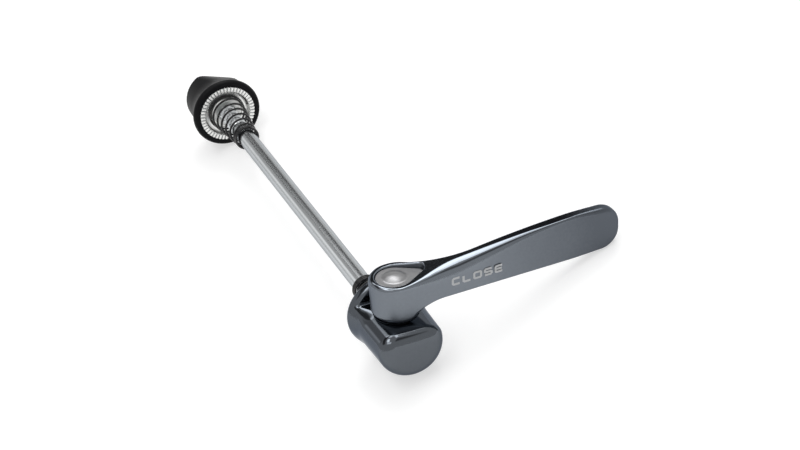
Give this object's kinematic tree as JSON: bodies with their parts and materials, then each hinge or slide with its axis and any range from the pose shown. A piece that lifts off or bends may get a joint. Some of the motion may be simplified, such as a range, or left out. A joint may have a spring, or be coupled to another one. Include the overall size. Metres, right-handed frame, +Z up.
{
  "type": "quick release skewer",
  "caption": "Quick release skewer for a bicycle hub: a thin steel rod with a cam lever in a round housing at one end, a serrated nut at the other and conical springs.",
  "frame": {"origin": "centre of the lever side clamp face, on the rod's axis", "axes": "+Y along the rod towards the nut, +Z up from the surface it lies on, the closed lever on the +X side"},
  "size_m": [0.0703, 0.1497, 0.0256],
  "materials": {
    "gunmetal": "gloss",
    "steel": "satin",
    "zinc": "bright",
    "spring_black": "gloss",
    "black_cover": "satin",
    "nylon": "matte"
  },
  "bodies": {
    "housing": {"cam_housing": "gunmetal", "clamp_disc": "zinc", "cam_retaining_pin": "steel", "thrust_washer": "steel", "lever_spring": "spring_black"},
    "lever": {"lever": "gunmetal", "cam_shaft": "steel"},
    "rod": {"skewer_rod": "steel"},
    "nut_carrier": {"nut_spring": "spring_black"},
    "nut": {"nut_cover": "black_cover", "nut_insert": "zinc", "nut_lock_ring": "nylon"}
  },
  "joints": [
    {"name": "lever_swing", "type": "hinge", "parent": "housing", "child": "lever", "pos_m": [0, -0.0093, 0], "axis": [-0.3353, 0, -0.9421], "range_deg": [0, 180]},
    {"name": "rod_draw", "type": "slide", "parent": "housing", "child": "rod", "axis": [0, 1, 0], "range_m": [0, 0.00221]},
    {"name": "nut_travel", "type": "slide", "parent": "rod", "child": "nut_carrier", "axis": [0, 1, 0], "range_m": [-0.0081, 0.0065]},
    {"name": "nut_turn", "type": "hinge", "parent": "nut_carrier", "child": "nut", "pos_m": [0, 0.115, 0], "axis": [0, 1, 0], "range_deg": [-3600, 2880]}
  ],
  "couplings": [
    {"joint": "rod_draw", "follows": "lever_swing", "m_per_rad": 0.00070028},
    {"joint": "nut_travel", "follows": "nut_turn", "m_per_rad": 0.00012732}
  ]
}
